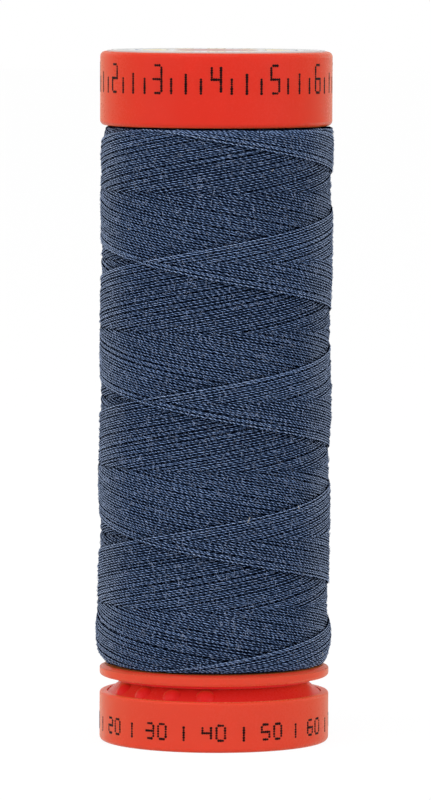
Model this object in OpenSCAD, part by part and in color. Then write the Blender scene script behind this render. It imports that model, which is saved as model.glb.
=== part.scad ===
// A small thread spool with a pull-open foot. Millimetres, +Z up.
// The origin is on the axis, in the plane that the closed foot stands on.

/* [Overall] */
// Outer diameter of the spool at its head
spool_d = 22; // [20:0.1:26]
// How far the flange, the foot and the thread lie inside the head's outline
end_step = 0.1; // [0:0.05:0.2]

/* [Head] */
// Height of the head drum
head_h = 7; // [5:0.1:12]
// Wall of the head drum
head_wall = 1; // [0.8:0.05:1.5]
// Floor of the head drum, above the winding
head_floor_t = 1; // [0.7:0.05:1.5]
// Rounding of the head drum's two edges
head_edge_r = 0.5; // [0.2:0.05:0.6]
// Ribs between the barrel and the head drum's wall
head_rib_count = 12; // [6:1:18]

/* [Barrel] */
// Wall of the barrel
barrel_wall = 1; // [0.7:0.05:1.2]
// Length of the winding, from the flange to the head
winding_len = 51.2; // [30:0.1:80]
// Bore for the machine's spool pin
pin_bore_d = 7; // [5:0.1:7.2]
// Wall of the inner tube round the bore
pin_tube_wall = 1; // [0.7:0.05:1.1]
// Webs between the inner tube and the barrel
web_count = 4; // [3:1:6]
// Thickness of every web and rib
rib_t = 0.8; // [0.6:0.05:1.2]

/* [Flange] */
// Thickness of the lower flange
flange_t = 1.05; // [1:0.05:1.6]
// Fall of the flange's top from the thread towards its edge
flange_top_fall = 0.25; // [0.1:0.05:0.3]
// Width of that slope
flange_top_run = 0.45; // [0.3:0.05:0.6]
// Rounding of the flange's upper edge
flange_top_edge_r = 0.1; // [0.05:0.05:0.15]
// Rounding of the flange's lower edge
flange_low_edge_r = 0.3; // [0.2:0.05:0.5]

/* [Foot] */
// Height of the foot up to its rim
foot_h = 4.75; // [4.5:0.05:7]
// Wall of the foot
foot_wall = 0.7; // [0.65:0.05:1.1]
// Thickness of the foot's top plate
foot_plate_t = 1.4; // [1.35:0.05:1.6]
// Depth of the top plate below the rim
foot_plate_drop = 0.15; // [0.1:0.05:0.6]
// Rounding of the foot's lower edge
foot_edge_r = 0.45; // [0.2:0.05:0.6]
// Rounding of the foot's rim
foot_rim_r = 0.25; // [0.1:0.05:0.3]
// Length of the ramp that rises from the rim towards the clamp ring
ramp_run = 1.45; // [1.2:0.05:2]
// Stiffening ribs below the top plate
foot_rib_count = 8; // [4:1:12]

/* [Thread lock] */
// Open height between the foot's rim and the flange's edge when closed
lock_gap = 1.5; // [1.25:0.05:2]
// How far the foot pulls down
lock_travel = 2.5; // [1.5:0.1:3]
// Radius of a grip nub
nub_r = 1.05; // [0.6:0.05:1.1]
// Clearance between the nubs' tops and the clamp ring when closed
nub_clearance = 0.12; // [0.08:0.01:0.3]
// How far the ring above the nubs reaches out past their middles
clamp_reach = 0.3; // [0.2:0.05:0.9]
// Grip nubs in the row on the ramp
nub_count = 4; // [3:1:14]
// Angle between two nubs
nub_pitch_a = 20; // [15:0.5:24]
// Bearing of the first nub, from +X
nub_first_a = 265; // [0:1:359]
// Clearance between the sliding sleeve and the spigot
sleeve_clearance = 0.1; // [0.08:0.01:0.2]
// Wall of the sliding sleeve
sleeve_wall = 1.2; // [1.1:0.05:1.4]
// Length of the sleeve above the top plate
sleeve_rise = 3.4; // [3:0.1:5]
// Snap fingers round the spigot
finger_count = 3; // [2:1:3]
// Width of a snap finger's bead
bead_w = 1.6; // [1.2:0.1:2]
// Height of a snap finger's bead
bead_h = 0.8; // [0.6:0.05:1]
// How far a bead stands out of the spigot
bead_out = 0.45; // [0.3:0.05:0.5]
// Clearance round a bead in its slot
bead_clearance = 0.12; // [0.08:0.01:0.2]
// Width of the slits beside each finger
slit_w = 0.5; // [0.3:0.05:0.7]
// Height of the slits
slit_h = 6; // [4:0.1:9]

/* [Winding] */
// Depth of the thread on the barrel
winding_depth = 2.3; // [1.9:0.05:2.6]
// Diameter of the drawn turn of thread
turn_d = 0.5; // [0.4:0.05:0.8]
// Most turns in the outer layer
turn_count = 24; // [12:1:24]
// Least gap between two turns, which sets how many a short winding holds
turn_gap = 0.5; // [0.45:0.05:0.8]
// Clearance between the outer turns and the layers below
turn_clearance = 0.12; // [0.1:0.01:0.3]
// Clearance of the inner layers from the plastic
wind_clearance = 0.05; // [0.02:0.01:0.1]
// Rounding of the inner layers' upper and lower shoulder
shoulder_r = 0.5; // [0.1:0.05:0.6]

/* [Labels] */
// Plastic rim left round the top label
label_margin = 0.7; // [0.6:0.05:0.8]
// Depth of the top label's seat in the head
top_label_sink = 0.1; // [0.05:0.01:0.2]
// Clearance round the labels
label_clearance = 0.1; // [0.05:0.01:0.2]
// Thickness of the labels' paper
label_t = 0.22; // [0.1:0.01:0.3]
// Paper cut back round the pin's bore
label_hole_margin = 0.5; // [0.3:0.05:0.8]
// Depth of the base label's lower face inside the foot
base_label_rise = 0.3; // [0.2:0.05:0.5]

/* [Hidden] */
$fn = 96;
// Overshoot of a cut past the face that it opens
eps = 0.05;
// Depth to which ribs and webs run into the walls that they join
bury = 0.3;

// Radii
bore_r = pin_bore_d / 2;
spigot_r = bore_r + pin_tube_wall;
head_r = spool_d / 2;
head_in_r = head_r - head_wall;
flange_r = head_r - end_step;
foot_r = head_r - end_step;
foot_in_r = foot_r - foot_wall;
winding_r = head_r - end_step;
barrel_r = winding_r - winding_depth;
barrel_in_r = barrel_r - barrel_wall;
sleeve_in_r = spigot_r + sleeve_clearance;
sleeve_out_r = sleeve_in_r + sleeve_wall;
top_label_r = head_r - label_margin;
base_label_r = foot_in_r - label_clearance;
label_hole_r = bore_r + label_hole_margin;

// Heights in the foot
plate_top_z = foot_h - foot_plate_drop;
rib_low_z = base_label_rise + label_t;
sleeve_top_z = plate_top_z + sleeve_rise;

// Grip nubs: a short stem with a dome, which stands in the ramp beside the rim
nub_stem_h = 0.1;
nub_wall_gap = 0.05;
nub_circle_r = foot_in_r - nub_r - nub_wall_gap;
clamp_r = nub_circle_r + clamp_reach;
nub_top_z = plate_top_z + nub_stem_h + nub_r;
ramp_top_r = foot_in_r - ramp_run;
ramp_top_z = nub_top_z;

// Heights in the body
clamp_z = nub_top_z + nub_clearance;
flange_low_z = foot_h + lock_gap;
flange_top_z = flange_low_z + flange_t;
flange_edge_z = flange_top_z - flange_top_fall;
head_low_z = flange_top_z + winding_len;
head_top_z = head_low_z + head_h;
label_seat_z = head_top_z - top_label_sink;
// The webs start this far above the closed sleeve
web_gap = 0.5;
web_low_z = sleeve_top_z + web_gap;

// Snap fingers at the spigot's lower end
finger_w = 3.2;
spigot_gap = 0.4;
spigot_low_z = rib_low_z + spigot_gap;
bead_low_z = spigot_low_z + spigot_gap;
bead_top_z = bead_low_z + bead_h;
bead_lead_h = 0.3;
bead_r = spigot_r + bead_out;

// Winding
turn_r = turn_d / 2;
turn_path_r = winding_r - turn_r;
turn_sides = 6;
turn_rings = 24;
// A chord between two rings lies this far inside the path's circle
turn_sag = turn_path_r * (1 - cos(180 / turn_rings));
inner_layers_r = turn_path_r - turn_r - turn_sag - turn_clearance;
turn_bend_r = 0.9;

// A revolved outline from the axis to r, with its two outer corners rounded
module drum(r, low_z, high_z, low_r, high_r) {
    h = high_z - low_z;
    rotate_extrude() {
        translate([0, low_z])
            square([r - low_r, h - high_r]);
        translate([0, low_z + low_r])
            square([r - high_r, h - low_r]);
        translate([0, low_z + low_r])
            square([r, h - low_r - high_r]);
        translate([r - low_r, low_z + low_r])
            circle(r = low_r, $fn = 48);
        translate([r - high_r, high_z - high_r])
            circle(r = high_r, $fn = 48);
    }
}

// A round cut or post on the axis between two heights
module post(r, low_z, high_z) {
    translate([0, 0, low_z])
        cylinder(r = r, h = high_z - low_z);
}

module ring(r_out, r_in, low_z, high_z) {
    difference() {
        post(r_out, low_z, high_z);
        post(r_in, low_z - eps, high_z + eps);
    }
}

// Radial ribs that join the wall at in_r to the wall at out_r
module ribs(count, in_r, out_r, low_z, high_z) {
    for (i = [0 : count - 1])
        rotate([0, 0, i * 360 / count])
            translate([in_r - bury, -rib_t / 2, low_z])
                cube([out_r - in_r + 2 * bury, rib_t, high_z - low_z]);
}

// Places its children at each snap finger, facing +X
module at_fingers() {
    for (i = [0 : finger_count - 1])
        rotate([0, 0, i * 360 / finger_count])
            children();
}

// Head drum, barrel and lower flange as one hollow shell. The thicker ring below the
// flange clamps the thread end against the nubs inside the foot's rim.
module body_shell() {
    difference() {
        union() {
            drum(head_r, head_low_z, head_top_z, head_edge_r, head_edge_r);
            post(barrel_r, flange_low_z, head_low_z + head_edge_r);
            drum(flange_r, flange_low_z, flange_edge_z, flange_low_edge_r, flange_top_edge_r);
            translate([0, 0, flange_edge_z - eps])
                cylinder(r1 = flange_r - flange_top_edge_r, r2 = flange_r - flange_top_run,
                         h = flange_top_fall + eps);
            post(clamp_r, clamp_z, flange_low_z + flange_t / 2);
        }
        post(barrel_in_r, clamp_z - eps, head_top_z + eps);
        ring(head_in_r, barrel_r, head_low_z + head_floor_t, head_top_z + eps);
        post(top_label_r + label_clearance, label_seat_z, head_top_z + eps);
    }
}

module snap_bead() {
    rotate([90, 0, 0])
        linear_extrude(height = bead_w, center = true)
            polygon([
                [spigot_r - bury, bead_low_z],
                [spigot_r, bead_low_z],
                [bead_r, bead_low_z + bead_lead_h],
                [bead_r, bead_top_z],
                [spigot_r - bury, bead_top_z]
            ]);
}

// The slits that free one finger, on both sides of it
module finger_slits() {
    for (side = [-1, 1])
        translate([0, side * (finger_w + slit_w) / 2, spigot_low_z - eps])
            translate([bore_r / 2, -slit_w / 2, 0])
                cube([spigot_r, slit_w, slit_h + eps]);
}

module spool_body() {
    color([0.84, 0.24, 0.18])
        difference() {
            union() {
                body_shell();
                ribs(head_rib_count, barrel_r, head_in_r, head_low_z + head_floor_t - bury, label_seat_z);
                ribs(web_count, spigot_r, barrel_in_r, web_low_z, label_seat_z);
                post(spigot_r, spigot_low_z, label_seat_z);
                at_fingers()
                    snap_bead();
            }
            post(bore_r, spigot_low_z - eps, head_top_z + eps);
            at_fingers()
                finger_slits();
        }
}

// The slot in the sleeve that one bead rides in
module bead_slot() {
    slot_w = bead_w + 2 * bead_clearance;
    slot_low_z = bead_low_z - bead_clearance;
    slot_high_z = bead_top_z + lock_travel + bead_clearance;
    translate([bore_r, -slot_w / 2, slot_low_z])
        cube([bead_r + bead_clearance - bore_r, slot_w, slot_high_z - slot_low_z]);
}

// The top plate's outline from the rim over the ramp to the sleeve, lowered by drop
function plate_line(drop) = [
    [foot_in_r + bury, plate_top_z - drop],
    [foot_in_r, plate_top_z - drop],
    [ramp_top_r, ramp_top_z - drop],
    [sleeve_out_r - bury, ramp_top_z - drop]
];

module foot_plate() {
    low = plate_line(foot_plate_t);
    rotate_extrude()
        polygon(concat(plate_line(0), [low[3], low[2], low[1], low[0]]));
}

module foot_ribs() {
    inner = [sleeve_out_r - bury, rib_low_z];
    outer = [foot_in_r + bury, rib_low_z];
    for (i = [0 : foot_rib_count - 1])
        rotate([0, 0, i * 360 / foot_rib_count])
            rotate([90, 0, 0])
                linear_extrude(height = rib_t, center = true)
                    polygon(concat(plate_line(foot_plate_t - bury), [inner, outer]));
}

module nub() {
    difference() {
        union() {
            post(nub_r, plate_top_z - bury, plate_top_z + nub_stem_h);
            translate([0, 0, plate_top_z + nub_stem_h])
                sphere(r = nub_r, $fn = 48);
        }
        post(nub_r + bury, plate_top_z - nub_r, plate_top_z);
    }
}

module foot_cap() {
    color([0.86, 0.26, 0.19])
        difference() {
            union() {
                difference() {
                    drum(foot_r, 0, foot_h, foot_edge_r, foot_rim_r);
                    post(foot_in_r, -eps, foot_h + eps);
                }
                foot_plate();
                foot_ribs();
                post(sleeve_out_r, rib_low_z, sleeve_top_z);
                for (i = [0 : nub_count - 1])
                    rotate([0, 0, nub_first_a - i * nub_pitch_a])
                        translate([nub_circle_r, 0, 0])
                            nub();
            }
            post(sleeve_in_r, -eps, sleeve_top_z + eps);
            at_fingers()
                bead_slot();
        }
}

module thread_inner_layers() {
    color([0.17, 0.21, 0.29])
        difference() {
            drum(inner_layers_r, flange_top_z + wind_clearance, head_low_z - wind_clearance,
                 shoulder_r, shoulder_r);
            post(barrel_r + wind_clearance, flange_top_z, head_low_z);
        }
}

// The outer turns follow a path on a cylinder, as [distance round, height]. It rises
// straight off the flange, bends over, winds up the spool and runs straight to the head.
wind_low_z = flange_top_z + turn_d + turn_bend_r;
wind_high_z = head_low_z - turn_d - turn_bend_r;
turns = min(turn_count, floor((wind_high_z - wind_low_z) / (turn_d + turn_gap)));
turn_steps = turns * turn_rings;
turn_step_s = 2 * PI * turn_path_r / turn_rings;
wind_end_s = turn_bend_r + turn_steps * turn_step_s;
turn_path = concat(
    [[0, flange_top_z], [0, flange_top_z + turn_d]],
    [for (a = [30, 60]) [turn_bend_r * (1 - cos(a)), wind_low_z - turn_bend_r * (1 - sin(a))]],
    [for (i = [0 : turn_steps])
        [turn_bend_r + i * turn_step_s, wind_low_z + (wind_high_z - wind_low_z) * i / turn_steps]],
    [for (a = [30, 60]) [wind_end_s + turn_bend_r * sin(a), wind_high_z + turn_bend_r * (1 - cos(a))]],
    [[wind_end_s + turn_bend_r, head_low_z - turn_d], [wind_end_s + turn_bend_r, head_low_z]]
);
turn_last = len(turn_path) - 1;

function path_angle(i) = turn_path[i][0] / turn_path_r * 180 / PI;
function outward(a) = [cos(a), sin(a), 0];
function path_point(i) = turn_path_r * outward(path_angle(i)) + [0, 0, turn_path[i][1]];
function unit(v) = v / norm(v);
// The two ends keep the upright direction, so that their faces lie flat
function path_direction(i) =
    i < 2 || i > turn_last - 2 ? [0, 0, 1] : unit(path_point(i + 1) - path_point(i - 1));
function path_ring(i) =
    let (out = outward(path_angle(i)), across = unit(cross(path_direction(i), out)))
    [for (k = [0 : turn_sides - 1])
        let (a = k * 360 / turn_sides)
        path_point(i) + turn_r * (cos(a) * out + sin(a) * across)];

turn_centres = [for (i = [0 : turn_last]) path_point(i)];
// Least gap between two stretches that lie half a turn to one and a half turns apart
turn_self_gap = min([
    for (i = [0 : turn_last])
        for (j = [i + turn_rings / 2 : 1 : min(turn_last, i + turn_rings * 1.5)])
            norm(turn_centres[i] - turn_centres[j])
]) - turn_d;

module thread_outer_turns() {
    echo(turn_self_gap_mm = turn_self_gap);
    n = turn_sides;
    points = [for (i = [0 : turn_last]) each path_ring(i)];
    walls = [
        for (i = [0 : turn_last - 1])
            for (k = [0 : n - 1])
                let (a = i * n + k, b = i * n + (k + 1) % n)
                each [[a, a + n, b], [b, a + n, b + n]]
    ];
    low_end = [for (k = [1 : n - 2]) [0, k, k + 1]];
    high_end = [for (k = [1 : n - 2]) [0, k + 1, k] + turn_last * n * [1, 1, 1]];
    color([0.20, 0.25, 0.34])
        polyhedron(points = points, faces = concat(walls, low_end, high_end));
}

module top_label() {
    color([0.95, 0.95, 0.93])
        ring(top_label_r, label_hole_r, label_seat_z, label_seat_z + label_t);
}

module base_label() {
    color([0.94, 0.94, 0.92])
        ring(base_label_r, label_hole_r, base_label_rise, rib_low_z);
}

spool_body();
foot_cap();
thread_inner_layers();
thread_outer_turns();
top_label();
base_label();
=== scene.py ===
import math
from functools import partial

import bmesh
import bpy
from mathutils import Matrix, Vector


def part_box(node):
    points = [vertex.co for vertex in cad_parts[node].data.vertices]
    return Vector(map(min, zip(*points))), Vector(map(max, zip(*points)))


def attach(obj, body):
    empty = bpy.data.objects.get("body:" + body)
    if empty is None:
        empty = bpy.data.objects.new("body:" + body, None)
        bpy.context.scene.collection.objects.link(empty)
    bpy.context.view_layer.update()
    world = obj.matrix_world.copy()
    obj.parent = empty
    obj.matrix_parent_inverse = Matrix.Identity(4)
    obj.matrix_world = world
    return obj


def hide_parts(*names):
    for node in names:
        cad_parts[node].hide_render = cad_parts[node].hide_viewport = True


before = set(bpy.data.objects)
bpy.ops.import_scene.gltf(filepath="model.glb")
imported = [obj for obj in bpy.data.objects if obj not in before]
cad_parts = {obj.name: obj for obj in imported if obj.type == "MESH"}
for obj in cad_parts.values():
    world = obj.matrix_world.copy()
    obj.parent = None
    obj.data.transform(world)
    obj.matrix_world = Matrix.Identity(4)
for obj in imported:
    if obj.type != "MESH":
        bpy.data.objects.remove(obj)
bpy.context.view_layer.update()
mm = 0.001
print("frame loaded:", ", ".join(sorted(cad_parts)))


# small helpers, used by every piece

def linked(obj):
    bpy.context.scene.collection.objects.link(obj)
    return obj


def plug(tree, value, socket):
    # a socket is linked, anything else becomes the input's own value
    if isinstance(value, bpy.types.NodeSocket):
        tree.links.new(value, socket)
    else:
        socket.default_value = value


def node(tree, kind, props=None, **inputs):
    # input names are written with their spaces left out, such as FillCaps
    made = tree.nodes.new(kind)
    for key, value in (props or {}).items():
        setattr(made, key, value)
    byName = {s.name.replace(" ", ""): s for s in reversed(made.inputs)}
    for key, value in inputs.items():
        plug(tree, value, byName[key])
    return made


def calc(tree, operation, *values):
    made = tree.nodes.new("ShaderNodeMath")
    made.operation = operation
    for value, socket in zip(values, made.inputs):
        plug(tree, value, socket)
    return made.outputs[0]


def vectorCalc(tree, operation, *values):
    made = tree.nodes.new("ShaderNodeVectorMath")
    made.operation = operation
    for value, socket in zip(values, made.inputs):
        plug(tree, value, socket)
    return made.outputs["Value" if operation in ("DOT_PRODUCT", "LENGTH") else "Vector"]


def ramp(tree, value, low, high, toLow=0.0, toHigh=1.0):
    # goes smoothly from toLow to toHigh while the value goes from low to high
    made = node(tree, "ShaderNodeMapRange", {"interpolation_type": "SMOOTHSTEP"},
                Value=value, FromMin=low, FromMax=high, ToMin=toLow, ToMax=toHigh)
    return made.outputs[0]


def joinAxes(tree, x=0.0, y=0.0, z=0.0):
    return node(tree, "ShaderNodeCombineXYZ", X=x, Y=y, Z=z).outputs[0]


def splitAxes(tree, vector):
    return node(tree, "ShaderNodeSeparateXYZ", Vector=vector).outputs


def noise(tree, vector, scale, detail, dimensions="3D"):
    return node(tree, "ShaderNodeTexNoise", {"noise_dimensions": dimensions},
                Vector=vector, Scale=scale, Detail=detail).outputs[0]


def ownChance(tree, number):
    # a value from 0 to 1 that is always the same for the same number
    return node(tree, "ShaderNodeTexWhiteNoise", {"noise_dimensions": "1D"}, W=number).outputs["Value"]


def mixColors(tree, share, low, high):
    made = node(tree, "ShaderNodeMix", {"data_type": "RGBA"})
    plug(tree, share, made.inputs["Factor"])
    plug(tree, low, made.inputs[6])
    plug(tree, high, made.inputs[7])
    return made.outputs[2]


def newTree(name, sizes):
    # sizes holds each named input's kind and value
    tree = bpy.data.node_groups.new(name, "GeometryNodeTree")
    tree.interface.new_socket("Geometry", in_out="OUTPUT", socket_type="NodeSocketGeometry")
    for label, (kind, value) in sizes.items():
        socket = tree.interface.new_socket(label, in_out="INPUT", socket_type="NodeSocket" + kind)
        if kind not in ("Material", "Object"):
            socket.default_value = value
    start = tree.nodes.new("NodeGroupInput")
    return tree, {s.name: s for s in start.outputs if s.name}


def randomValue(tree, low, high, seed):
    made = node(tree, "FunctionNodeRandomValue", {"data_type": "FLOAT"}, Seed=seed)
    plug(tree, low, made.inputs[2])
    plug(tree, high, made.inputs[3])
    return made.outputs[1]


def makeTube(tree, curve, sides, thickness):
    radius = calc(tree, "MULTIPLY", thickness, 0.5)
    ring = node(tree, "GeometryNodeCurvePrimitiveCircle", Resolution=sides, Radius=radius).outputs[0]
    return node(tree, "GeometryNodeCurveToMesh", Curve=curve, ProfileCurve=ring, FillCaps=True).outputs[0]


def finishTree(tree, geometry, material):
    real = node(tree, "GeometryNodeRealizeInstances", Geometry=geometry).outputs[0]
    smooth = node(tree, "GeometryNodeSetShadeSmooth", Geometry=real).outputs[0]
    painted = node(tree, "GeometryNodeSetMaterial", Geometry=smooth, Material=material).outputs[0]
    plug(tree, painted, tree.nodes.new("NodeGroupOutput").inputs[0])


def growPiece(name, tree, material, values):
    # runs the tree once with these values, and keeps the result as a plain mesh
    base = linked(bpy.data.objects.new(name + "Seed", bpy.data.meshes.new(name + "Seed")))
    grow = base.modifiers.new("grow", "NODES")
    grow.node_group = tree
    for item in tree.interface.items_tree:
        if item.item_type == "SOCKET" and item.in_out == "INPUT":
            if item.name == "Material":
                grow[item.identifier] = material
            elif item.name in values:
                grow[item.identifier] = values[item.name]
    graph = bpy.context.evaluated_depsgraph_get()
    mesh = bpy.data.meshes.new_from_object(base.evaluated_get(graph), depsgraph=graph)
    base.modifiers.remove(grow)
    bpy.data.objects.remove(base)
    mesh.name = name
    piece = linked(bpy.data.objects.new(name, mesh))
    print(name, "has", len(mesh.polygons), "faces")
    return piece


def newMaterial(name):
    mat = bpy.data.materials.new(name)
    mat.use_nodes = True
    mat.node_tree.nodes.clear()
    out = mat.node_tree.nodes.new("ShaderNodeOutputMaterial")
    shader = mat.node_tree.nodes.new("ShaderNodeBsdfPrincipled")
    mat.node_tree.links.new(shader.outputs["BSDF"], out.inputs["Surface"])
    return mat, mat.node_tree, shader


def objectPoint(tree):
    return tree.nodes.new("ShaderNodeTexCoord").outputs["Object"]


def setShader(shader, **values):
    # input names are written with their spaces left out, and the values are constants
    for socket in shader.inputs:
        key = socket.name.replace(" ", "")
        if key in values:
            socket.default_value = values[key]


def paintNode(name, mat):
    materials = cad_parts[name].data.materials
    materials.clear()
    materials.append(mat)


# camera, with a long lens, looking down a little

camera = {
    "distance": 620 * mm,      # from the spool's axis
    "height": 77 * mm,         # above the table
    "aimHeight": 32.42 * mm,
    "focalPixels": 6545,       # lens length, in pixels of the render
    "imageSize": (431, 800),
    "axisPixelX": 215.1,       # where the spool's axis crosses the render's middle row
    "roll": 0.23,              # degrees, the spool leans right at its top
}


def makeCamera(c):
    data = bpy.data.cameras.new("camera")
    cam = linked(bpy.data.objects.new("camera", data))
    wide, high = c["imageSize"]
    data.sensor_fit = "VERTICAL"
    data.sensor_height = 36
    data.lens = c["focalPixels"] * data.sensor_height / high
    data.clip_start = 0.01
    aside = (wide / 2 - c["axisPixelX"]) * c["distance"] / c["focalPixels"]
    cam.location = (aside, -c["distance"], c["height"])
    look = Vector((aside, 0, c["aimHeight"])) - cam.location
    turn = look.to_track_quat("-Z", "Y").to_matrix().to_4x4()
    roll = Matrix.Rotation(math.radians(c["roll"]), 4, "Z")
    cam.rotation_mode = "QUATERNION"
    cam.rotation_quaternion = (turn @ roll).to_quaternion()
    bpy.context.scene.camera = cam


makeCamera(camera)
print("camera made")


# moulded plastic

plastic = {
    "color": (0.94, 0.046, 0.027, 1),
    "deepColor": (0.89, 0.040, 0.023, 1),    # in slow clouds, as the melt flowed
    "thinColor": (0.96, 0.084, 0.046, 1),    # painted light: outside of the flange and of the foot's wall, paler and warmer
    "thinBelow": (7.1 * mm, 7.3 * mm),       # heights between which it begins
    "innerColor": (0.97, 0.030, 0.034, 1),   # painted glow: saturated red in the thread lock, where light comes through the walls
    "innerRadius": (10.3 * mm, 10.7 * mm),   # radii between which it ends
    "glow": 0.5,                             # share of light that spreads inside the plastic
    "glowReach": 0.6 * mm,
    "glowTint": (1.0, 0.25, 0.15),           # how far red, green and blue spread, as shares of it
    "roughness": (0.20, 0.32),
    "cloudScale": 140.0,                     # per metre
    "cloudStretch": (1.0, 1.0, 0.35),        # the melt flowed along the axis and drew them out
    "grainScale": 5200.0,
    "grainDepth": 0.0025 * mm,
    "gloss": 0.08,
    "edgeBloom": (1.0, 0.42, 0.10, 1),       # warm light that the plastic scatters at its limbs
    "bloomWeight": 0.52,
    "bloomSpread": 0.5,
}


def makePlastic(name, p):
    mat, t, shader = newMaterial(name)
    point = objectPoint(t)
    clouds = noise(t, vectorCalc(t, "MULTIPLY", point, p["cloudStretch"]), p["cloudScale"], 3.0)
    grain = noise(t, point, p["grainScale"], 2.0)
    upper = mixColors(t, ramp(t, clouds, 0.3, 0.7), p["deepColor"], p["color"])
    # painted light: below the flange's top the outside is paler and warmer, and the thread lock has a
    # painted red glow
    radius = vectorCalc(t, "LENGTH", vectorCalc(t, "MULTIPLY", point, (1.0, 1.0, 0.0)))
    lower = mixColors(t, ramp(t, radius, *p["innerRadius"]), p["innerColor"], p["thinColor"])
    below = ramp(t, splitAxes(t, point)[2], *p["thinBelow"], 1.0, 0.0)
    plug(t, mixColors(t, below, upper, lower), shader.inputs["Base Color"])
    worn = calc(t, "MULTIPLY", calc(t, "ADD", clouds, grain), 0.5)
    plug(t, ramp(t, worn, 0.35, 0.65, *p["roughness"]), shader.inputs["Roughness"])
    bump = node(t, "ShaderNodeBump", Distance=p["grainDepth"], Height=grain)
    plug(t, bump.outputs[0], shader.inputs["Normal"])
    setShader(shader, SubsurfaceWeight=p["glow"], SubsurfaceRadius=p["glowTint"],
              SubsurfaceScale=p["glowReach"], SpecularIORLevel=p["gloss"],
              SheenWeight=p["bloomWeight"], SheenRoughness=p["bloomSpread"], SheenTint=p["edgeBloom"])
    return mat


bodyPlastic = makePlastic("bodyPlastic", plastic)
for name in ("spool_body", "foot_cap"):
    paintNode(name, bodyPlastic)


# the thread: one continuous strand, wound up and down in crossing strokes

innerLow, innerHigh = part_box("thread_inner_layers")
outerLow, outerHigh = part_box("thread_outer_turns")

winding = {
    "Pitch": 13.03 * mm,           # rise of one turn
    "Low": outerLow.z + 0.13 * mm,
    "High": outerHigh.z - 0.11 * mm,
    "Radius": 11.04 * mm,
    "Thread": 0.218 * mm,          # thread diameter
    "Layer": 0.17 * mm,            # how far a crossed thread lies below the crossing one
    "Threads": 54,                 # threads side by side in one pitch
    "Per Turn": 90,                # points round one turn
    "Start Angle": -44 / 360,      # turns from the front, where the newest strokes cross
    "Valley": 0.15 * mm,           # how far the oldest threads lie below the newest
    "Crevice": 0.10 * mm,          # depth of the line beside a newest thread, and where strokes swap
    "Wander": 0.06 * mm,           # sideways, in long waves
    "Scatter": 0.036 * mm,         # sideways, from thread to thread
    "Rise": 0.035 * mm,            # outwards, from thread to thread
    "Lump": 0.08 * mm,             # unevenness of the whole pile
    "Lean": 0.0033,                # the pile stands out to the right at its top
    "Top Shoulder": 0.38 * mm,     # how far the pile falls in at its ends
    "Base Shoulder": 0.75 * mm,
    "Top Fade": 0.7 * mm,          # height over which a shoulder fades to about a third
    "Base Fade": 0.42 * mm,
    "Belly": 0.19 * mm,            # how far the pile bulges a little above the flange
    "Belly Height": 2.9 * mm,      # above the pile's base
    "Belly Reach": 1.7 * mm,
    "Turn Length": 2 * math.pi * 11.1,    # of thread, in millimetres
}
windingPieces = {
    # first stroke, number of strokes
    "thread_early_strokes": (0, 36),
    "thread_middle_strokes": (36, 36),
    "thread_last_strokes": (72, 36),
}


def asSockets(values):
    # the kind and value that newTree needs for each of a piece's sizes
    return {key: ("Int" if isinstance(value, int) else "Float", value) for key, value in values.items()}


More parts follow.
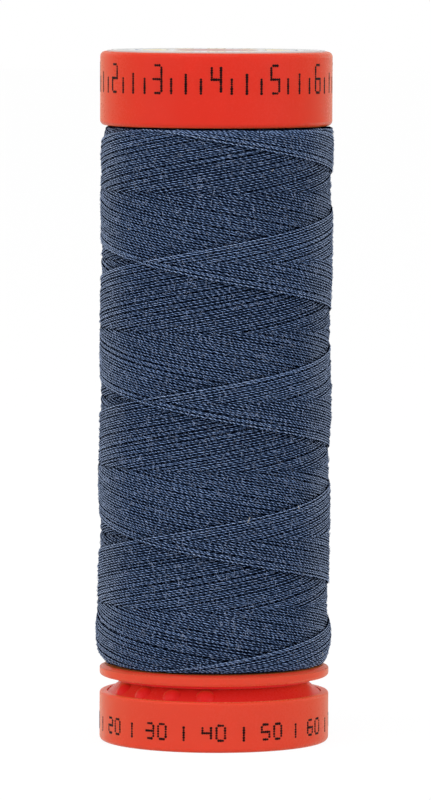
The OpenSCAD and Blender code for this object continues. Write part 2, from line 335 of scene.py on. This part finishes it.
def windingTree():
    sizes = asSockets(winding)
    sizes.update({"First Stroke": ("Int", 0), "Strokes": ("Int", 1), "Material": ("Material", None)})
    t, g = newTree("crossWinding", sizes)
    m = partial(calc, t)

    # a stroke and its short rest at the end add up to just under four turns
    strokeTurns = m("SUBTRACT", 4.0, m("DIVIDE", 0.5, g["Threads"]))
    rise = m("SUBTRACT", g["High"], g["Low"])
    riseTurns = m("DIVIDE", rise, g["Pitch"])
    restTurns = m("SUBTRACT", strokeTurns, riseTurns)
    count = m("ADD", 1.0, m("MULTIPLY", g["Per Turn"], m("MULTIPLY", g["Strokes"], strokeTurns)))
    line = node(t, "GeometryNodeMeshLine", Count=count).outputs[0]

    step = m("DIVIDE", t.nodes.new("GeometryNodeInputIndex").outputs[0], g["Per Turn"])
    turns = m("ADD", step, m("MULTIPLY", g["First Stroke"], strokeTurns))
    # a hair more than the turns, so that rounding puts no point in the stroke before its own
    stroke = m("FLOOR", m("DIVIDE", m("ADD", turns, 0.0001), strokeTurns))
    within = m("SUBTRACT", turns, m("MULTIPLY", stroke, strokeTurns))
    down = m("MODULO", stroke, 2.0)
    up = m("SUBTRACT", 1.0, m("MULTIPLY", 2.0, down))

    # height, with each reversal rounded off a little by soft
    run = m("DIVIDE", m("SUBTRACT", within, m("MULTIPLY", restTurns, 0.5)), riseTurns)
    soft = 0.0001
    fromLow = m("SQRT", m("ADD", m("MULTIPLY", run, run), soft))
    toHigh = m("SQRT", m("ADD", m("POWER", m("SUBTRACT", 1.0, run), 2.0), soft))
    level = m("MULTIPLY", 0.5, m("ADD", 1.0, m("SUBTRACT", fromLow, toHigh)))
    level = m("ADD", m("MULTIPLY", level, up), down)
    z = m("ADD", g["Low"], m("MULTIPLY", rise, level))
    around = m("ADD", turns, g["Start Angle"])
    climbed = m("MULTIPLY", level, riseTurns)

    # age of this thread, and of the newest crossing thread here, from 0 to 1
    threads = g["Threads"]
    pair = m("FLOOR", m("DIVIDE", stroke, 2.0))
    own = m("DIVIDE", m("SUBTRACT", m("SUBTRACT", threads, 0.5), pair), threads)
    edge = m("ADD", m("MULTIPLY", restTurns, 0.5), m("DIVIDE", 0.5, threads))
    offset = m("ADD", g["Start Angle"], m("MULTIPLY", edge, m("MULTIPLY", up, -1.0)))
    other = m("FRACT", m("SUBTRACT", m("ADD", around, m("MULTIPLY", climbed, up)), offset))
    lead = m("ADD", m("MULTIPLY", m("SUBTRACT", own, other), threads), m("MULTIPLY", up, 0.5))
    under = ramp(t, lead, -0.7, 0.7)
    diving = ramp(t, m("MULTIPLY", m("SUBTRACT", other, 1.0), threads), -1.3, 0.0)
    under = m("MAXIMUM", under, diving)

    angle = m("MULTIPLY", around, 2 * math.pi)
    sine, cosine = m("SINE", angle), m("COSINE", angle)

    # unevenness: the thread wanders sideways, and the whole pile is a little lumpy
    where = joinAxes(t, m("MULTIPLY", stroke, 0.41), m("MULTIPLY", turns, 3.3), 4.0)
    aside = m("MULTIPLY", m("SUBTRACT", noise(t, where, 1.0, 1.0), 0.5), m("MULTIPLY", g["Wander"], 4.0))
    each = ownChance(t, m("ADD", stroke, 0.5))
    scatter = m("MULTIPLY", m("SUBTRACT", each, 0.5), m("MULTIPLY", g["Scatter"], 2.0))
    aside = m("ADD", aside, scatter)
    onPile = joinAxes(t, sine, cosine, m("MULTIPLY", z, 150.0))
    pile = m("MULTIPLY", m("SUBTRACT", noise(t, onPile, 1.7, 1.0), 0.5), m("MULTIPLY", g["Lump"], 4.0))

    # the top shoulder is deeper on the left
    left = m("SUBTRACT", 0.6, m("MULTIPLY", 0.4, sine))
    nearTop = m("EXPONENT", m("DIVIDE", m("SUBTRACT", z, g["High"]), g["Top Fade"]))
    nearBase = m("EXPONENT", m("DIVIDE", m("SUBTRACT", g["Low"], z), g["Base Fade"]))
    topShoulder = m("MULTIPLY", g["Top Shoulder"], m("MULTIPLY", left, nearTop))
    shoulder = m("ADD", topShoulder, m("MULTIPLY", g["Base Shoulder"], nearBase))
    aboveBase = m("SUBTRACT", z, g["Low"])
    fromBelly = m("DIVIDE", m("SUBTRACT", aboveBase, g["Belly Height"]), g["Belly Reach"])
    bell = m("EXPONENT", m("MULTIPLY", m("MULTIPLY", fromBelly, fromBelly), -1.0))
    belly = m("MULTIPLY", g["Belly"], bell)

    # radius: crossed and aged threads lie deeper, with a crevice at the newest and at each swap
    top = m("SUBTRACT", g["Radius"], m("MULTIPLY", g["Thread"], 0.5))
    radius = m("SUBTRACT", top, m("MULTIPLY", g["Layer"], under))
    atSwap = m("EXPONENT", m("MULTIPLY", m("MULTIPLY", lead, lead), -0.6))
    besideNewest = m("EXPONENT", m("MULTIPLY", m("MULTIPLY", m("SUBTRACT", own, 1.0), threads), 0.9))
    sunk = m("MULTIPLY", g["Crevice"], m("ADD", m("MULTIPLY", 0.6, atSwap), besideNewest))
    radius = m("SUBTRACT", radius, sunk)
    aged = m("ADD", m("POWER", own, 3.0), m("POWER", other, 3.0))
    radius = m("SUBTRACT", radius, m("MULTIPLY", g["Valley"], aged))
    depth = m("MULTIPLY", m("SUBTRACT", top, radius), 1 / mm)
    raised = ownChance(t, m("ADD", stroke, 700.5))
    radius = m("ADD", radius, m("MULTIPLY", m("SUBTRACT", raised, 0.5), m("MULTIPLY", g["Rise"], 2.0)))
    fresh = m("EXPONENT", m("MULTIPLY", own, m("MULTIPLY", threads, -0.8)))
    middle = m("MULTIPLY", 0.5, m("ADD", g["Low"], g["High"]))
    lean = m("MULTIPLY", g["Lean"], m("SUBTRACT", z, middle))
    radius = m("ADD", radius, m("MULTIPLY", lean, sine))
    radius = m("SUBTRACT", m("ADD", m("ADD", radius, pile), belly), shoulder)
    z = m("ADD", z, aside)
    place = joinAxes(t, m("MULTIPLY", radius, sine), m("MULTIPLY", radius, m("MULTIPLY", cosine, -1.0)), z)

    strand = node(t, "GeometryNodeSetPosition", Geometry=line, Position=place).outputs[0]
    strand = node(t, "GeometryNodeMeshToCurve", Mesh=strand).outputs[0]
    here = t.nodes.new("GeometryNodeInputPosition").outputs[0]
    length = m("MULTIPLY", turns, g["Turn Length"])
    strand = node(t, "GeometryNodeStoreNamedAttribute", {"data_type": "FLOAT_VECTOR"},
                  Geometry=strand, Name="centre", Value=here).outputs[0]
    for label, value in (("along", length), ("strand", each), ("depth", depth), ("fresh", fresh)):
        strand = node(t, "GeometryNodeStoreNamedAttribute", {"data_type": "FLOAT"},
                      Geometry=strand, Name=label, Value=value).outputs[0]
    tube = makeTube(t, strand, 6, g["Thread"])
    finishTree(t, tube, g["Material"])
    return t


thread = {
    "lightColor": (0.27, 0.45, 0.88, 1),      # painted highlight: the thread's blue as lit, along the ridge of a ply
    "deepColor": (0.001, 0.004, 0.016, 1),    # painted shade in the creases
    "sheenColor": (0.58, 0.72, 1.0, 1),       # painted sheen of the ridges where they are seen edge on
    "roughness": (1.0, 0.4),                  # in the creases, and along the ridges
    "plyLength": 0.50,                        # along the thread from one ply to the next, in millimetres
    "plyRelief": 0.5 * winding["Thread"],
    "twistWander": 9.0,                       # how unevenly it is twisted, in radians
    "crown": 2.3,                             # how fast painted shade darkens down the thread's sides
    "edgePale": 2.3,                          # painted sheen of what is seen edge on
    "ridgePale": 0.25,                        # and of the ridges that face the viewer
}


def makeThread(name, p):
    mat, t, shader = newMaterial(name)
    m = partial(calc, t)
    centre = node(t, "ShaderNodeAttribute", {"attribute_name": "centre"}).outputs["Vector"]
    along, strand, depth, fresh = (node(t, "ShaderNodeAttribute", {"attribute_name": label}).outputs["Fac"]
                                   for label in ("along", "strand", "depth", "fresh"))
    offset = vectorCalc(t, "SUBTRACT", objectPoint(t), centre)
    outward = vectorCalc(t, "NORMALIZE", vectorCalc(t, "MULTIPLY", centre, (1, 1, 0)))
    out = m("DIVIDE", vectorCalc(t, "DOT_PRODUCT", offset, outward), 0.5 * winding["Thread"])
    across = m("DIVIDE", vectorCalc(t, "DOT_PRODUCT", offset, (0, 0, 1)), 0.25 * winding["Thread"])

    # the thread isn't even, so its twist runs a little tighter and looser
    spot = joinAxes(t, m("MULTIPLY", along, 0.4), m("MULTIPLY", strand, 90.0))
    uneven = noise(t, spot, 1.0, 2.0, "2D")
    wander = m("MULTIPLY", m("SUBTRACT", uneven, 0.5), p["twistWander"])
    turned = m("ADD", m("MULTIPLY", along, math.pi / p["plyLength"]), wander)
    turned = m("ADD", turned, m("MULTIPLY", strand, 200.0))

    # two round plies twisted together: the height of the upper one here, and how near its ridge is
    sine, cosine = m("SINE", turned), m("COSINE", turned)
    heights, ridges = [], []
    for side in (1.0, -1.0):
        aside = m("ADD", across, m("MULTIPLY", sine, side))
        bulge = m("SQRT", m("MAXIMUM", 0.0, m("SUBTRACT", 1.0, m("MULTIPLY", aside, aside))))
        heights.append(m("ADD", m("MULTIPLY", cosine, side), bulge))
        ridges.append(bulge)
    height = m("MAXIMUM", *heights)
    first = m("GREATER_THAN", *heights)
    second = m("SUBTRACT", 1.0, first)
    ridge = m("ADD", m("MULTIPLY", ridges[0], first), m("MULTIPLY", ridges[1], second))
    # painted shade down the thread's sides and between the plies, and a painted highlight along each ply's
    # ridge
    crown = m("POWER", ramp(t, out, 0.35, 1.0), p["crown"])
    ply = m("ADD", 0.04, m("MULTIPLY", 0.96, m("POWER", ridge, 3.0)))
    ply = m("MULTIPLY", ply, ramp(t, height, 0.7, 2.0, 0.2, 1.0))

    # single filaments, then painted light and shade on each place of the pile: deeper threads darker, the
    # newest brighter
    fineAcross = m("ADD", m("MULTIPLY", strand, 70.0), m("MULTIPLY", across, 0.8))
    speckle = noise(t, joinAxes(t, m("MULTIPLY", along, 5.2), fineAcross), 1.0, 3.0, "2D")
    ply = m("MULTIPLY", ply, ramp(t, speckle, 0.3, 0.7, 0.3, 2.0))
    place = m("MULTIPLY", ramp(t, depth, 0.0, 0.4, 1.0, 0.5), m("ADD", 1.0, fresh))
    patchy = m("ADD", 0.75, m("MULTIPLY", 0.5, uneven))
    tone = m("MULTIPLY", m("MULTIPLY", crown, ply), m("MULTIPLY", place, patchy))
    mixed = mixColors(t, tone, p["deepColor"], p["lightColor"])
    # painted sheen: the colour pales towards sheenColor where the thread is seen edge on and along bright
    # ridges
    edgeOn = ramp(t, node(t, "ShaderNodeLayerWeight", Blend=0.5).outputs["Facing"], 0.3, 0.95)
    pale = m("ADD", m("MULTIPLY", edgeOn, p["edgePale"]), m("MULTIPLY", tone, p["ridgePale"]))
    shine = mixColors(t, m("MULTIPLY", tone, pale), mixed, p["sheenColor"])
    bump = node(t, "ShaderNodeBump", Distance=p["plyRelief"], Height=m("MULTIPLY", height, 0.5))
    plug(t, shine, shader.inputs["Base Color"])
    plug(t, bump.outputs[0], shader.inputs["Normal"])
    plug(t, ramp(t, tone, 0.0, 0.5, *p["roughness"]), shader.inputs["Roughness"])
    setShader(shader, SpecularIORLevel=0.0)
    return mat


threadFinish = makeThread("threadFinish", thread)
tree = windingTree()
for name, (first, strokes) in windingPieces.items():
    piece = growPiece(name, tree, threadFinish, {"First Stroke": first, "Strokes": strokes})
    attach(piece, "spool")
    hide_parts("thread_outer_turns")


# packed lower layers, which show between the outer strokes as thread painted dark with shade

lowerLayers = {
    "radius": 10.28 * mm,
    "innerRadius": 8.65 * mm,   # just clear of the barrel
    "endDrop": 0.45 * mm,       # how far the ends are rounded down, and over what length
    "endLength": 1.2 * mm,
    # painted shade: the thread's navy darkened deep in the pile, and darker still in the grooves
    "color": (0.012, 0.022, 0.046, 1),
    "darkColor": (0.003, 0.007, 0.018, 1),
    "threadPitch": 0.24,        # millimetres
    "relief": 0.06 * mm,
}


def makeLathe(name, outline, around):
    # outline is a closed loop of (radius, height), run upwards on its outer side
    made = bmesh.new()
    rings = []
    for step in range(around):
        angle = 2 * math.pi * step / around
        rings.append([made.verts.new((r * math.cos(angle), r * math.sin(angle), z)) for r, z in outline])
    for step in range(around):
        here, there = rings[step], rings[(step + 1) % around]
        for i in range(len(outline)):
            j = (i + 1) % len(outline)
            made.faces.new((here[i], there[i], there[j], here[j])).smooth = True
    bmesh.ops.recalc_face_normals(made, faces=made.faces)
    mesh = bpy.data.meshes.new(name)
    made.to_mesh(mesh)
    made.free()
    return linked(bpy.data.objects.new(name, mesh))


def makeLowerLayers(p):
    low, high = innerLow.z, innerHigh.z
    parts = (0.0, 0.15, 0.35, 0.65, 1.0)
    radii = [p["radius"] - p["endDrop"] * (1 - part) ** 2 for part in parts]
    lowEnd = [(r, low + part * p["endLength"]) for r, part in zip(radii, parts)]
    highEnd = [(r, high - part * p["endLength"]) for r, part in zip(radii, parts)]
    outline = [(p["innerRadius"], low), *lowEnd, *reversed(highEnd), (p["innerRadius"], high)]
    piece = makeLathe("thread_lower_layers", outline, 120)

    mat, t, shader = newMaterial("packedThread")
    m = partial(calc, t)
    x, y, z = splitAxes(t, objectPoint(t))
    turn = m("DIVIDE", m("ARCTAN2", x, m("MULTIPLY", y, -1.0)), 2 * math.pi)
    pitch = winding["Pitch"] / mm
    rise = m("SUBTRACT", m("MULTIPLY", z, 1 / mm), m("MULTIPLY", turn, pitch))
    # painted shade in the grooves between the packed threads
    ridge = m("ABSOLUTE", m("SINE", m("MULTIPLY", rise, math.pi / p["threadPitch"])))
    bump = node(t, "ShaderNodeBump", Distance=p["relief"], Height=ridge)
    plug(t, mixColors(t, ridge, p["darkColor"], p["color"]), shader.inputs["Base Color"])
    plug(t, bump.outputs[0], shader.inputs["Normal"])
    setShader(shader, Roughness=0.7, SpecularIORLevel=0.1)
    piece.data.materials.append(mat)
    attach(piece, "spool")
    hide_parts("thread_inner_layers")


makeLowerLayers(lowerLayers)
print("lower layers made")


# loose fibres that stand off the thread, and a few light specks of lint

fibres = {
    "Count": 1200,
    "Reach": 11.5 * mm,       # each fibre's place is found from here inwards
    "Low": outerLow.z + 0.6 * mm,
    "High": outerHigh.z - 0.6 * mm,
    "Length": 0.5 * mm,
    "Thickness": 0.034 * mm,
    "Arch": 0.5,              # how far a fibre bends away from the thread, as a share of its length
    "Bends": 5,               # points along one fibre
    "Seed": 5,
}
fuzz = dict(fibres, Count=13000, Length=0.27 * mm, Thickness=0.036 * mm, Arch=0.9, Bends=3, Seed=23)
lint = dict(fibres, Count=26, Length=0.42 * mm, Thickness=0.09 * mm, Arch=0.3, Seed=11)
loosePieces = {
    # sizes, finish
    "thread_fibres": (fibres, "fibre"),
    "thread_fuzz": (fuzz, "fibre"),
    "lint_specks": (lint, "lint"),
}
fibreColors = {
    # painted sheen: the thread's navy made paler, as loose fibres catch the light
    "fibre": (0.44, 0.55, 0.82, 1),
    "lint": (0.75, 0.74, 0.70, 1),
}
strokeInputs = ("First", "Second", "Third")


def fibreTree():
    sizes = asSockets(fibres)
    sizes.update({label: ("Object", None) for label in strokeInputs})
    sizes["Material"] = ("Material", None)
    t, g = newTree("looseFibres", sizes)
    m = partial(calc, t)

    def chance(low, high, extra):
        return randomValue(t, low, high, m("ADD", g["Seed"], float(extra)))

    # one short arched curve for each fibre, with a slight wave along it
    strand = node(t, "GeometryNodeCurvePrimitiveLine", Start=(-0.5, 0, 0), End=(0.5, 0, 0)).outputs[0]
    strand = node(t, "GeometryNodeResampleCurve", Curve=strand, Count=g["Bends"]).outputs[0]
    x = splitAxes(t, t.nodes.new("GeometryNodeInputPosition").outputs[0])[0]
    arch = m("MULTIPLY", m("SUBTRACT", m("MULTIPLY", x, x), 0.25), g["Arch"])
    wave = m("MULTIPLY", m("SINE", m("MULTIPLY", x, 5.0)), 0.06)
    bent = joinAxes(t, x, arch, wave)
    strand = node(t, "GeometryNodeSetPosition", Geometry=strand, Position=bent).outputs[0]

    # a ray from outside finds each fibre's place on the pile of strokes
    line = node(t, "GeometryNodeMeshLine", Count=g["Count"]).outputs[0]
    angle = chance(-math.pi, math.pi, 1)
    outward = joinAxes(t, m("SINE", angle), m("MULTIPLY", m("COSINE", angle), -1.0))
    height = joinAxes(t, z=chance(g["Low"], g["High"], 3))
    reach = joinAxes(t, g["Reach"], g["Reach"])
    far = vectorCalc(t, "ADD", vectorCalc(t, "MULTIPLY", outward, reach), height)
    pile = t.nodes.new("GeometryNodeJoinGeometry")
    for label in strokeInputs:
        plug(t, node(t, "GeometryNodeObjectInfo", Object=g[label]).outputs["Geometry"], pile.inputs[0])
    inward = vectorCalc(t, "MULTIPLY", outward, (-1, -1, 0))
    hit = node(t, "GeometryNodeRaycast", TargetGeometry=pile.outputs[0], SourcePosition=far,
               RayDirection=inward, RayLength=g["Reach"]).outputs
    points = node(t, "GeometryNodeSetPosition", Geometry=line, Position=hit["Hit Position"]).outputs[0]
    points = node(t, "GeometryNodeMeshToPoints", Mesh=points).outputs[0]

    # x runs along the surface, turned by chance about the outward direction
    euler = joinAxes(t, chance(-0.25, 0.25, 4), chance(-math.pi, math.pi, 5), angle)
    turn = node(t, "FunctionNodeEulerToRotation", Euler=euler).outputs[0]
    size = m("MULTIPLY", g["Length"], chance(0.45, 1.6, 6))
    fibre = node(t, "GeometryNodeInstanceOnPoints", Points=points, Selection=hit["Is Hit"],
                 Instance=strand, Rotation=turn, Scale=size).outputs[0]
    fibre = node(t, "GeometryNodeRealizeInstances", Geometry=fibre).outputs[0]
    finishTree(t, makeTube(t, fibre, 3, g["Thickness"]), g["Material"])
    return t


def makeFibre(name, color):
    mat, t, shader = newMaterial(name)
    patch = noise(t, objectPoint(t), 900.0, 2.0)
    dark = [0.35 * c for c in color[:3]] + [1]
    plug(t, mixColors(t, ramp(t, patch, 0.3, 0.7), dark, color), shader.inputs["Base Color"])
    setShader(shader, Roughness=0.5)
    return mat


looseTree = fibreTree()
strokes = dict(zip(strokeInputs, (bpy.data.objects[name] for name in windingPieces)))
for name, (sizes, finish) in loosePieces.items():
    mat = makeFibre(finish + "Finish", fibreColors[finish])
    piece = growPiece(name, looseTree, mat, dict(sizes, **strokes))
    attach(piece, "spool")


# paper labels with plain printed rings, no words

labels = {
    "paper": (0.86, 0.86, 0.84, 1),
    "navy": (0.03, 0.06, 0.20, 1),
    "yellow": (0.80, 0.58, 0.06, 1),
    "grey": (0.07, 0.07, 0.065, 1),
    "tickCount": 72.0,
    "rayCount": 12.0,
    # radii in millimetres between which each is printed
    "ticks": (8.3, 9.5),
    "outerRing": (7.5, 7.75),
    "rays": (5.2, 7.0),
    "innerRing": (4.6, 4.8),
    "rimRing": (9.85, 9.95),
    "inkBleed": 0.03,
}


def makeLabel(name, p):
    mat, t, shader = newMaterial(name)
    m = partial(calc, t)
    point = objectPoint(t)
    x, y, _ = splitAxes(t, point)
    radius = m("MULTIPLY", m("SQRT", m("ADD", m("MULTIPLY", x, x), m("MULTIPLY", y, y))), 1 / mm)
    angle = m("ARCTAN2", y, x)
    bleed = p["inkBleed"]

    def band(key):
        low, high = p[key]
        fromInside = ramp(t, radius, low - bleed, low + bleed)
        return m("MULTIPLY", fromInside, ramp(t, radius, high - bleed, high + bleed, 1.0, 0.0))

    ticks = ramp(t, m("COSINE", m("MULTIPLY", angle, p["tickCount"])), 0.55, 0.65)
    rays = ramp(t, m("COSINE", m("MULTIPLY", angle, p["rayCount"])), -0.2, -0.1)
    grain = noise(t, point, 4000.0, 3.0)
    inked = ramp(t, grain, 0.2, 0.45, 0.75, 1.0)
    prints = [
        (m("MULTIPLY", band("ticks"), ticks), "grey"),
        (band("outerRing"), "navy"),
        (m("MULTIPLY", band("rays"), rays), "yellow"),
        (band("innerRing"), "navy"),
        (band("rimRing"), "grey"),
    ]
    color = p["paper"]
    for mask, ink in prints:
        color = mixColors(t, m("MULTIPLY", mask, inked), color, p[ink])
    plug(t, color, shader.inputs["Base Color"])
    bump = node(t, "ShaderNodeBump", Strength=0.3, Distance=0.01 * mm, Height=grain)
    plug(t, bump.outputs[0], shader.inputs["Normal"])
    setShader(shader, Roughness=0.35)
    return mat


labelPaper = makeLabel("labelPaper", labels)
for name in ("top_label", "base_label"):
    paintNode(name, labelPaper)


# plain dial numbers and ticks in dots of ink, round the head and round the foot

inkRows = {
    "head_numbers": {
        "body": "spool",
        "radius": 11.0 * mm,       # of the drum that it is printed on
        "top": 64.35 * mm,         # top of a digit, above the table
        "across": 0.215 * mm,      # from dot to dot
        "down": 0.215 * mm,
        "rows": 13,                # dots from top to bottom
        "first": 1,                # first number, and the step to the next
        "step": 1,
        "dot": 0.13 * mm,          # radius
        "ticks": (1, 2, 3),        # quarters of the way to the next number
    },
    "foot_numbers": {
        "body": "foot",
        "radius": 10.9 * mm,
        "top": 2.62 * mm,
        "across": 0.20 * mm,
        "down": 0.235 * mm,
        "rows": 7,
        "first": 10,
        "step": 10,
        "dot": 0.122 * mm,
        "ticks": (2,),
    },
}
inkDots = {
    "Dot": 0.095 * mm,        # radius, where a row gives none of its own
    "Thickness": 0.012 * mm,
    "Sink": 0.008 * mm,
}
dialCount = 12
digitColumns = 5
digitPitch = 6.6              # from one digit to the next, in dots
strokesOn = ("abcdef", "bc", "abdeg", "abcdg", "bcfg", "acdfg", "acdefg", "abc", "abcdefg", "abcdfg")


def digitDots(digit, rows):
    # the seven strokes of a digit as dots on a grid, with its outer corners left out
    mid, last, right = rows // 2, rows - 1, digitColumns - 1
    across = range(digitColumns)
    upper, lower = range(mid + 1), range(mid, rows)
    lines = {
        "a": [(i, 0) for i in across],
        "b": [(right, i) for i in upper],
        "c": [(right, i) for i in lower],
        "d": [(i, last) for i in across],
        "e": [(0, i) for i in lower],
        "f": [(0, i) for i in upper],
        "g": [(i, mid) for i in across],
    }
    dots = {dot for line in strokesOn[digit] for dot in lines[line]}
    if digit != 1:
        dots -= {(0, 0), (right, 0), (0, last), (right, last)}
    return sorted(dots)


def dialDots(p):
    spots = []
    for i in range(dialCount):
        number = str(p["first"] + i * p["step"])
        width = (len(number) - 1) * digitPitch + digitColumns - 1
        middle = 360 / dialCount * (i - 3) * math.pi / 180
        for place, digit in enumerate(number):
            for column, row in digitDots(int(digit), p["rows"]):
                around = (column + place * digitPitch - width / 2) * p["across"]
                spots.append((middle + around / p["radius"], p["top"] - row * p["down"]))
        for tick in p["ticks"]:
            angle = middle + tick / 4 * 2 * math.pi / dialCount
            tall = (p["rows"] + 1) // 2 + (2 if tick == 2 else 0)    # the middle tick is taller
            for row in range(tall):
                spots.append((angle, p["top"] - (p["rows"] - 1 - row) * p["down"]))
    return [(p["radius"] * math.sin(a), -p["radius"] * math.cos(a), z) for a, z in spots]


def inkTree():
    sizes = asSockets(inkDots)
    sizes.update({"Spots": ("Object", None), "Material": ("Material", None)})
    t, g = newTree("inkDots", sizes)
    m = partial(calc, t)
    spots = node(t, "GeometryNodeObjectInfo", Object=g["Spots"]).outputs["Geometry"]
    points = node(t, "GeometryNodeMeshToPoints", Mesh=spots).outputs[0]
    place = t.nodes.new("GeometryNodeInputPosition").outputs[0]
    outward = vectorCalc(t, "NORMALIZE", vectorCalc(t, "MULTIPLY", place, (1, 1, 0)))
    facing = node(t, "FunctionNodeAlignRotationToVector", {"axis": "Z"}, Vector=outward).outputs[0]

    # one flat dot, sunk a little into the plastic, then printed larger and smaller by chance
    thick = m("ADD", g["Thickness"], g["Sink"])
    dot = node(t, "GeometryNodeMeshCylinder", Vertices=8, Radius=g["Dot"], Depth=thick).outputs[0]
    shift = joinAxes(t, z=m("MULTIPLY", 0.5, m("SUBTRACT", g["Thickness"], g["Sink"])))
    dot = node(t, "GeometryNodeTransform", Geometry=dot, Translation=shift).outputs[0]
    wide = randomValue(t, 0.82, 1.12, 0)
    dots = node(t, "GeometryNodeInstanceOnPoints", Points=points, Instance=dot,
                Rotation=facing, Scale=joinAxes(t, wide, wide, 1.0)).outputs[0]
    finishTree(t, dots, g["Material"])
    return t


def makeInk(name):
    mat, t, shader = newMaterial(name)
    patch = noise(t, objectPoint(t), 2500.0, 2.0)
    color = mixColors(t, ramp(t, patch, 0.45, 0.75), (0.005, 0.001, 0.001, 1), (0.02, 0.002, 0.002, 1))
    plug(t, color, shader.inputs["Base Color"])
    setShader(shader, Roughness=0.6, SpecularIORLevel=0.1)
    return mat


inkFinish = makeInk("blackInk")
dotTree = inkTree()
for name, row in inkRows.items():
    spotMesh = bpy.data.meshes.new(name + "Spots")
    spotMesh.from_pydata(dialDots(row), [], [])
    spotsObject = linked(bpy.data.objects.new(name + "Spots", spotMesh))
    piece = growPiece(name, dotTree, inkFinish, {"Spots": spotsObject, "Dot": row["dot"]})
    bpy.data.objects.remove(spotsObject)
    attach(piece, row["body"])
print("numbers printed")


# white floor and room, and soft lamps

studio = {
    "white": 1.0,                # what the camera and reflections see around the spool
    "roomLight": 0.48,
    "floorSize": 6.0,
    "floorColor": (0.9, 0.9, 0.9, 1),
    "floorGlow": 0.9,            # share of plain white in what the camera sees of the floor
    "floorGain": 1.05,           # brightness of that white
    "lampAim": (0, 0, 33 * mm),
}
lamps = {
    # width, place, power in watts
    "topSoftbox": (0.55, (-0.12, -0.30, 0.70), 1.7),
    "leftSoftbox": (0.6, (-0.75, -0.45, 0.25), 1.0),
    "rightSoftbox": (0.6, (0.75, -0.45, 0.25), 1.12),
}


def whiteForView(t, lit, share, gain=1.0):
    # plain white to the camera and in reflections, ordinary light otherwise
    path = t.nodes.new("ShaderNodeLightPath")
    seen = calc(t, "MAXIMUM", path.outputs["Is Camera Ray"], path.outputs["Is Glossy Ray"])
    seen = calc(t, "MAXIMUM", seen, path.outputs["Is Transmission Ray"])
    glow = node(t, "ShaderNodeEmission", Color=(1, 1, 1, 1), Strength=gain)
    mixed = node(t, "ShaderNodeMixShader")
    plug(t, calc(t, "MULTIPLY", seen, share), mixed.inputs[0])
    plug(t, lit, mixed.inputs[1])
    plug(t, glow.outputs[0], mixed.inputs[2])
    return mixed.outputs[0]


def makeStage(p):
    mesh = bpy.data.meshes.new("floor")
    half = p["floorSize"] / 2
    corners = [(-half, -half, 0), (half, -half, 0), (half, half, 0), (-half, half, 0)]
    mesh.from_pydata(corners, [], [(0, 1, 2, 3)])
    floor = linked(bpy.data.objects.new("floor", mesh))
    mat, t, shader = newMaterial("floorWhite")
    setShader(shader, BaseColor=p["floorColor"], Roughness=0.9)
    white = whiteForView(t, shader.outputs[0], p["floorGlow"], p["floorGain"])
    plug(t, white, t.nodes["Material Output"].inputs["Surface"])
    mesh.materials.append(mat)

    world = bpy.data.worlds.new("studio")
    world.use_nodes = True
    bpy.context.scene.world = world
    t = world.node_tree
    room = t.nodes["Background"]
    room.inputs["Color"].default_value = (1, 1, 1, 1)
    room.inputs["Strength"].default_value = p["roomLight"]
    plug(t, whiteForView(t, room.outputs[0], p["white"]), t.nodes["World Output"].inputs["Surface"])


def makeLamps(rows, aim):
    for name, (width, place, watts) in rows.items():
        data = bpy.data.lights.new(name, "AREA")
        data.shape = "SQUARE"
        data.size = width
        data.energy = watts
        lamp = linked(bpy.data.objects.new(name, data))
        lamp.location = place
        look = Vector(aim) - lamp.location
        lamp.rotation_euler = look.to_track_quat("-Z", "Y").to_euler()


makeStage(studio)
makeLamps(lamps, studio["lampAim"])
print("stage and lamps made")
bpy.context.scene.view_settings.view_transform = "Standard"
